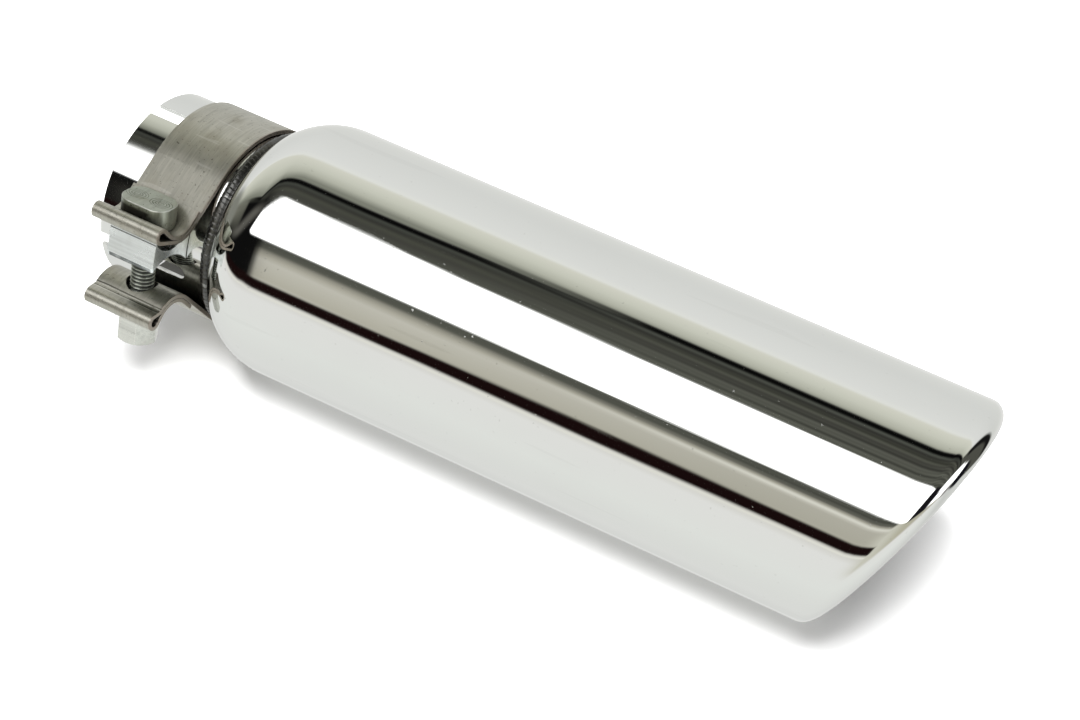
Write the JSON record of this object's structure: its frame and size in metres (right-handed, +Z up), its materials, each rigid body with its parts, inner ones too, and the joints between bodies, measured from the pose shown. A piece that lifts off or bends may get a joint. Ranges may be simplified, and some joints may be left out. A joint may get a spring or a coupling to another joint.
{
  "type": "exhaust tip",
  "caption": "Polished exhaust tip with an angle-cut outlet and rolled rim, and a slotted inlet neck closed on the pipe by a bolted band clamp.",
  "frame": {"origin": "on the tube axis, in the plane of the inlet neck's open end", "axes": "+X along the tube axis towards the outlet, +Z up with the long side of the angle cut on top, +Y to the side away from the clamp bolt"},
  "size_m": [0.372, 0.1179, 0.1016],
  "materials": {
    "polished_shell": "mirror-polished stainless steel",
    "polished_neck": "polished stainless steel tube",
    "weld": "rough weld bead, as laid",
    "clamp_strip": "dull rolled stainless strip, lightly stained",
    "bolt_steel": "dull zinc-plated steel, ground on the head's flat",
    "zinc_block": "satin zinc plating",
    "saddle_steel": "dull steel",
    "zinc_nut": "pale satin zinc plating"
  },
  "bodies": {
    "root": {"outer_shell": "polished_shell", "inlet_neck": "polished_neck", "weld_bead": "weld", "band_clamp": "clamp_strip", "bolt": "bolt_steel", "reaction_block": "zinc_block", "nut_saddle": "saddle_steel", "hex_nut": "zinc_nut"}
  },
  "joints": []
}
